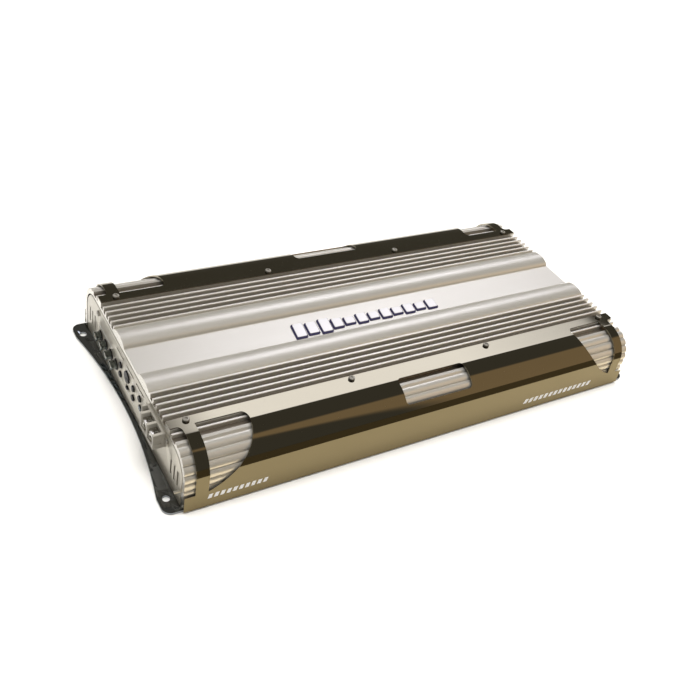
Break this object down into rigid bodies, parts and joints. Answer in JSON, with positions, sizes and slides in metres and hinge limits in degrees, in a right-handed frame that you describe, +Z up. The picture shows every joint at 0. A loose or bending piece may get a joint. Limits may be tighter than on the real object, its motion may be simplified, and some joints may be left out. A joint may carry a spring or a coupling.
{
  "type": "car amplifier",
  "caption": "Low wide car amplifier: ribbed aluminium heatsink case, mirror trim covers, eared mounting base, control and power end panel",
  "frame": {"origin": "centre of the underside of the base plate", "axes": "X along the cooling fins with the control and power end at -X, Y across the fins, Z up"},
  "size_m": [0.517, 0.2516, 0.0616],
  "materials": {
    "anodised": "satin",
    "black_chrome": "polished",
    "satin_plate": "satin",
    "smoked_chrome": "polished",
    "dark_steel": "satin",
    "white_enamel": "gloss",
    "navy_enamel": "gloss",
    "zinc_steel": "satin",
    "circuit_board": "satin",
    "clear_lens": "gloss",
    "black_plastic": "matte",
    "nickel": "polished",
    "white_plastic": "matte",
    "gold_plate": "polished",
    "grey_plastic": "matte",
    "copper": "polished",
    "green_plastic": "gloss",
    "brass": "satin",
    "ferrite": "matte",
    "dark_sleeve": "gloss"
  },
  "bodies": {
    "case": {"heatsink": "anodised", "base_plate": "black_chrome", "end_panel_left": "satin_plate", "end_panel_right": "satin_plate", "trim_front": "smoked_chrome", "trim_rear": "smoked_chrome", "trim_screws": "dark_steel", "panel_screws": "dark_steel", "base_screws": "dark_steel", "emblem_backing": "navy_enamel", "emblem_bars": "white_enamel", "pot_bodies": "zinc_steel", "switch_body": "zinc_steel", "control_board": "circuit_board", "power_led": "clear_lens", "led_bezel": "black_plastic", "rca_housing": "black_plastic", "rca_barrels": "nickel", "rca_insulators": "white_plastic", "rca_contacts": "gold_plate", "power_block": "grey_plastic", "power_clamps": "nickel", "power_screws": "dark_steel", "bus_bars": "copper", "speaker_block": "black_plastic", "speaker_clamps": "nickel", "speaker_screws": "dark_steel", "fuse_holder": "black_plastic", "fuse_bodies": "green_plastic", "fuse_blades": "nickel", "main_board": "circuit_board", "standoffs": "brass", "board_screws": "zinc_steel", "transformer_cores": "ferrite", "transformer_windings": "copper", "choke_cores": "ferrite", "choke_windings": "copper", "capacitors": "dark_sleeve", "transistors_front": "black_plastic", "transistors_rear": "black_plastic", "insulator_strips": "grey_plastic", "clamp_bars": "zinc_steel", "clamp_screws": "dark_steel"},
    "knob_gain_front_shaft": {"knob_gain_front": "black_plastic"},
    "knob_gain_rear_shaft": {"knob_gain_rear": "black_plastic"},
    "knob_level_shaft": {"knob_level": "black_plastic"},
    "knob_highpass_shaft": {"knob_highpass": "black_plastic"},
    "knob_lowpass_shaft": {"knob_lowpass": "black_plastic"},
    "knob_bass_shaft": {"knob_bass": "black_plastic"},
    "slider": {"switch_slider": "black_plastic"}
  },
  "joints": [
    {"name": "turn_gain_front", "type": "hinge", "parent": "case", "child": "knob_gain_front_shaft", "pos_m": [-0.244, 0.024, 0.031], "axis": [1, 0, 0], "range_deg": [-140, 140]},
    {"name": "turn_gain_rear", "type": "hinge", "parent": "case", "child": "knob_gain_rear_shaft", "pos_m": [-0.244, 0.024, 0.0205], "axis": [1, 0, 0], "range_deg": [-140, 140]},
    {"name": "turn_level", "type": "hinge", "parent": "case", "child": "knob_level_shaft", "pos_m": [-0.244, 0.0075, 0.031], "axis": [1, 0, 0], "range_deg": [-140, 140]},
    {"name": "turn_highpass", "type": "hinge", "parent": "case", "child": "knob_highpass_shaft", "pos_m": [-0.244, -0.008, 0.031], "axis": [1, 0, 0], "range_deg": [-140, 140]},
    {"name": "turn_lowpass", "type": "hinge", "parent": "case", "child": "knob_lowpass_shaft", "pos_m": [-0.244, -0.008, 0.0205], "axis": [1, 0, 0], "range_deg": [-140, 140]},
    {"name": "turn_bass", "type": "hinge", "parent": "case", "child": "knob_bass_shaft", "pos_m": [-0.244, -0.0234, 0.033], "axis": [1, 0, 0], "range_deg": [-140, 140]},
    {"name": "slide_switch", "type": "slide", "parent": "case", "child": "slider", "axis": [0, 1, 0], "range_m": [-0.002, 0.002]}
  ]
}
